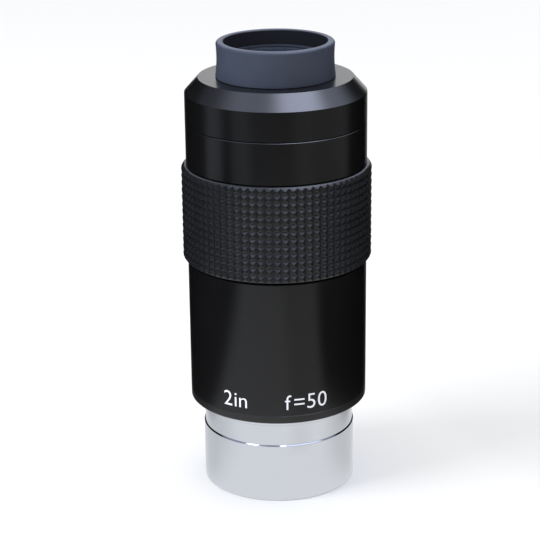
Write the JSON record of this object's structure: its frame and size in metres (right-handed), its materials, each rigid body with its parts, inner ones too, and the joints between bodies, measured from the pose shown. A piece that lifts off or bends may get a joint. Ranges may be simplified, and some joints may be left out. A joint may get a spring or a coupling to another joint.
{
  "type": "telescope eyepiece",
  "caption": "Push-fit telescope eyepiece with a chromed barrel, a black body, a rubber twist ring and a rubber eyecup that rises on a cam.",
  "frame": {"origin": "centre of the barrel's mouth, the lowest point of the part, on the optical axis", "axes": "+Z along the optical axis, from the telescope to the eye; +X and +Y across, with one cam pin on +X"},
  "size_m": [0.0622, 0.0622, 0.1502],
  "materials": {
    "chromed_brass": "polished chrome plate",
    "black_anodised": "black anodised, satin",
    "inner_black": "matt black anodised",
    "grip_rubber": "moulded, satin",
    "cup_rubber": "moulded, matt, slate grey",
    "coated_glass": "multi-layer coated",
    "glide_plastic": "black low-friction film",
    "felt": "black felt",
    "hard_steel": "ground"
  },
  "bodies": {
    "body": {"barrel": "chromed_brass", "base_ring": "black_anodised", "lower_housing": "black_anodised", "field_stop": "inner_black", "guide_tube": "inner_black", "ring_retainer": "inner_black", "lens_cell": "inner_black", "eye_spacer": "inner_black", "field_spacer": "inner_black", "field_retaining_ring": "inner_black", "eye_crown_lens": "coated_glass", "eye_flint_lens": "coated_glass", "middle_lens": "coated_glass", "field_crown_lens": "coated_glass", "field_flint_lens": "coated_glass", "lower_glide_washer": "glide_plastic", "upper_glide_washer": "glide_plastic"},
    "twist_ring_body": {"twist_ring": "black_anodised", "rubber_grip": "grip_rubber", "ring_seal": "felt"},
    "eye_guard": {"guard_sleeve": "inner_black", "cam_pins": "hard_steel", "cap": "black_anodised", "cup_collar": "inner_black", "eyecup": "cup_rubber"}
  },
  "joints": [
    {"name": "ring_twist", "type": "hinge", "parent": "body", "child": "twist_ring_body", "pos_m": [0, 0, 0.1], "axis": [0, 0, 1], "range_deg": [0, 120]},
    {"name": "guard_lift", "type": "slide", "parent": "body", "child": "eye_guard", "axis": [0, 0, 1], "range_m": [0, 0.012]}
  ],
  "couplings": [
    {"joint": "guard_lift", "follows": "ring_twist", "m_per_rad": 0.0057295}
  ]
}
